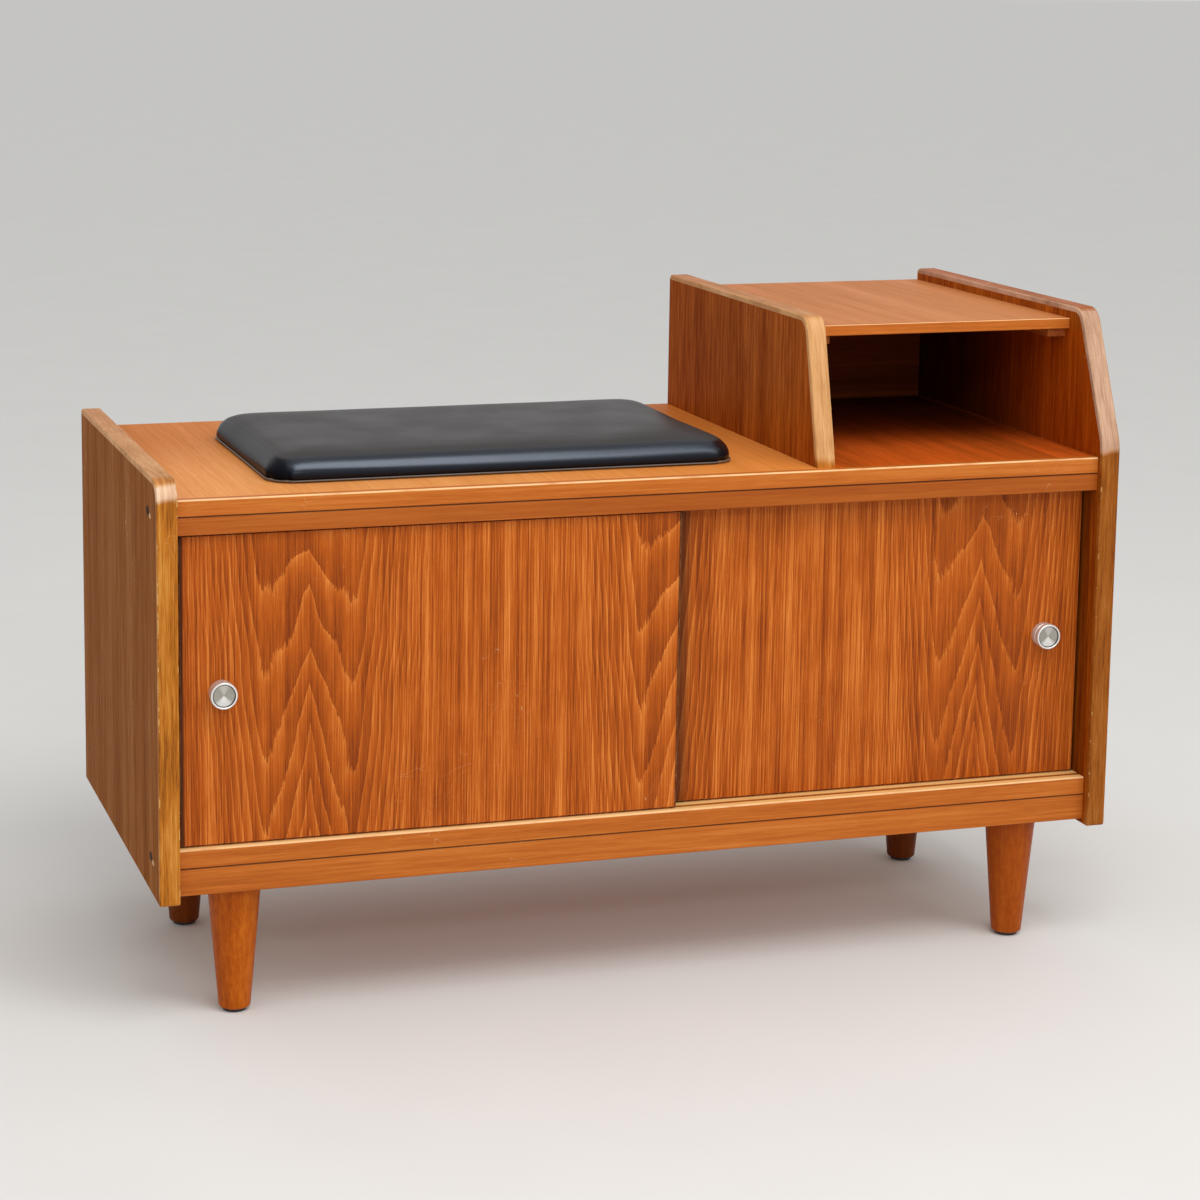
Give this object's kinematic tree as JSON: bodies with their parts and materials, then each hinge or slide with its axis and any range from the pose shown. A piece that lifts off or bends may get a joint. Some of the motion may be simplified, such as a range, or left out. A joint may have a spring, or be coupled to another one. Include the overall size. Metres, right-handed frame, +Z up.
{
  "type": "telephone bench",
  "caption": "Long low wooden bench with a padded seat, a raised open compartment with a shelf for a telephone, and sliding cabinet doors on tapered legs.",
  "frame": {"origin": "on the floor, under the centre of the box round the bench", "axes": "+X along the width, from the seat end to the telephone compartment; -Y out of the front; +Z up"},
  "size_m": [0.9, 0.406, 0.6],
  "materials": {
    "side_veneer": "satin teak veneer, fine upright grain",
    "lipping": "satin solid lipping, worn at the corners",
    "top_veneer": "satin teak veneer, grain from front to back",
    "rail_wood": "satin solid teak, grain along the width",
    "floor_board": "plain veneered board",
    "door_veneer": "satin teak veneer with arched figure",
    "back_board": "thin plywood",
    "bearer_wood": "plain sawn softwood",
    "cleat_wood": "dark stained softwood",
    "leg_wood": "satin turned hardwood",
    "glide": "black moulded",
    "knob_metal": "turned and brushed",
    "steel": "plain zinc",
    "dowel_wood": "plain beech",
    "pad_vinyl": "black leathercloth, semi-gloss",
    "pad_foam": "upholstery foam",
    "pad_board": "thin plywood"
  },
  "bodies": {
    "cabinet": {"left_side_panel": "side_veneer", "right_side_panel": "side_veneer", "divider_panel": "side_veneer", "left_panel_lipping": "lipping", "right_panel_lipping": "lipping", "divider_lipping": "lipping", "bench_top": "top_veneer", "telephone_shelf": "top_veneer", "bench_top_lipping": "rail_wood", "upper_door_rail": "rail_wood", "cabinet_floor_lipping": "rail_wood", "lower_front_rail": "rail_wood", "telephone_shelf_lipping": "rail_wood", "cabinet_floor": "floor_board", "centre_partition": "floor_board", "cabinet_back": "back_board", "compartment_back": "back_board", "left_leg_bearer": "bearer_wood", "right_leg_bearer": "bearer_wood", "left_shelf_cleat": "cleat_wood", "right_shelf_cleat": "cleat_wood", "front_left_leg": "leg_wood", "front_right_leg": "leg_wood", "rear_left_leg": "leg_wood", "rear_right_leg": "leg_wood", "front_left_glide": "glide", "front_right_glide": "glide", "rear_left_glide": "glide", "rear_right_glide": "glide", "side_panel_pins": "steel", "back_panel_pins": "steel", "divider_screws": "steel", "upper_rail_screws": "steel", "floor_screws": "steel", "cleat_screws": "steel", "seat_pad_screws": "steel", "leg_hanger_bolts": "steel", "leg_tee_nuts": "steel", "carcass_dowels": "dowel_wood", "seat_pad_cover": "pad_vinyl", "seat_pad_foam": "pad_foam", "seat_pad_board": "pad_board"},
    "left_door": {"left_door": "door_veneer", "left_door_knob": "knob_metal", "left_knob_screw": "steel"},
    "right_door": {"right_door": "door_veneer", "right_door_knob": "knob_metal", "right_knob_screw": "steel"}
  },
  "joints": [
    {"name": "left_door_slide", "type": "slide", "parent": "cabinet", "child": "left_door", "axis": [1, 0, 0], "range_m": [0, 0.1765]},
    {"name": "right_door_slide", "type": "slide", "parent": "cabinet", "child": "right_door", "axis": [1, 0, 0], "range_m": [-0.1765, 0]}
  ]
}
